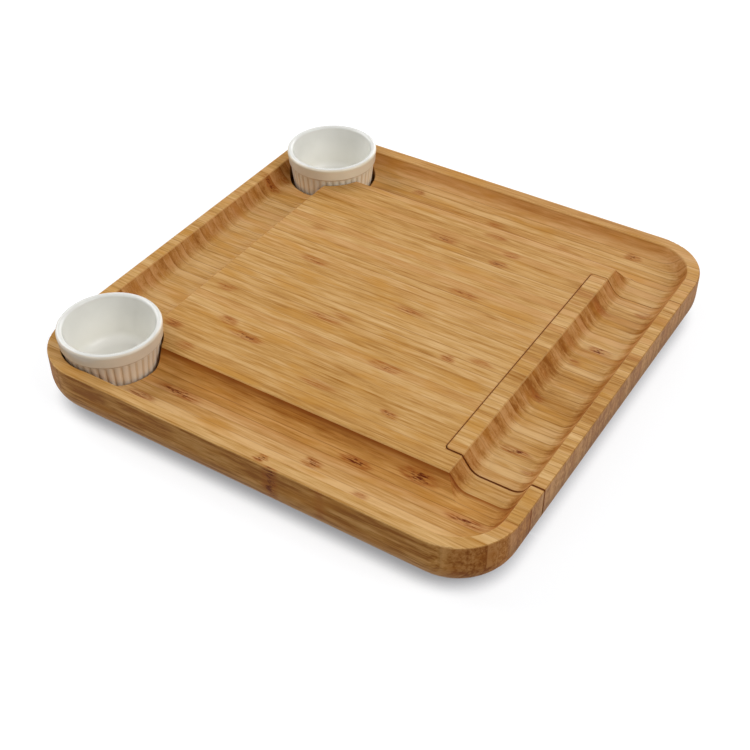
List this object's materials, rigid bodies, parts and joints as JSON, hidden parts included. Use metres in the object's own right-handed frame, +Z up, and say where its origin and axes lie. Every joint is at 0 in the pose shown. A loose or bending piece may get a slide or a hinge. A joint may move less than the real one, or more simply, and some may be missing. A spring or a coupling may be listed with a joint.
{
  "type": "cutting board with drawer",
  "caption": "Square bamboo serving board with a raised platform, a moat, a hidden sliding drawer of cheese tools, and lift-out ramekins in two corners.",
  "frame": {"origin": "under the middle of the board, on the surface it stands on", "axes": "+X the way the drawer pulls out, +Y towards the far side, +Z up"},
  "size_m": [0.33, 0.33, 0.0516],
  "materials": {
    "bamboo": "oiled, satin",
    "bamboo_tray": "oiled, satin",
    "bamboo_panel": "oiled, satin",
    "bamboo_strip": "sanded",
    "bamboo_handle": "oiled, satin",
    "blade_steel": "brushed",
    "screw_steel": "zinc plated",
    "magnet_nickel": "nickel plated",
    "ramekin_glaze": "white glaze"
  },
  "bodies": {
    "board": {"board_body": "bamboo", "base_panel": "bamboo_panel", "base_screws": "screw_steel", "near_runner": "bamboo_strip", "far_runner": "bamboo_strip", "runner_screws": "screw_steel", "board_magnets": "magnet_nickel"},
    "drawer": {"drawer_front": "bamboo", "drawer_tray": "bamboo_tray", "drawer_dowels": "bamboo_strip", "drawer_magnets": "magnet_nickel", "cleaver_blade": "blade_steel", "cleaver_handle": "bamboo_handle", "spade_blade": "blade_steel", "spade_handle": "bamboo_handle", "fork_blade": "blade_steel", "fork_handle": "bamboo_handle", "slicer_blade": "blade_steel", "slicer_handle": "bamboo_handle"},
    "near_ramekin": {"near_ramekin": "ramekin_glaze"},
    "far_ramekin": {"far_ramekin": "ramekin_glaze"}
  },
  "joints": [
    {"name": "drawer_slide", "type": "slide", "parent": "board", "child": "drawer", "axis": [1, 0, 0], "range_m": [0, 0.147]},
    {"name": "near_ramekin_lift", "type": "slide", "parent": "board", "child": "near_ramekin", "axis": [0, 0, 1], "range_m": [0, 0.06]},
    {"name": "far_ramekin_lift", "type": "slide", "parent": "board", "child": "far_ramekin", "axis": [0, 0, 1], "range_m": [0, 0.06]}
  ]
}
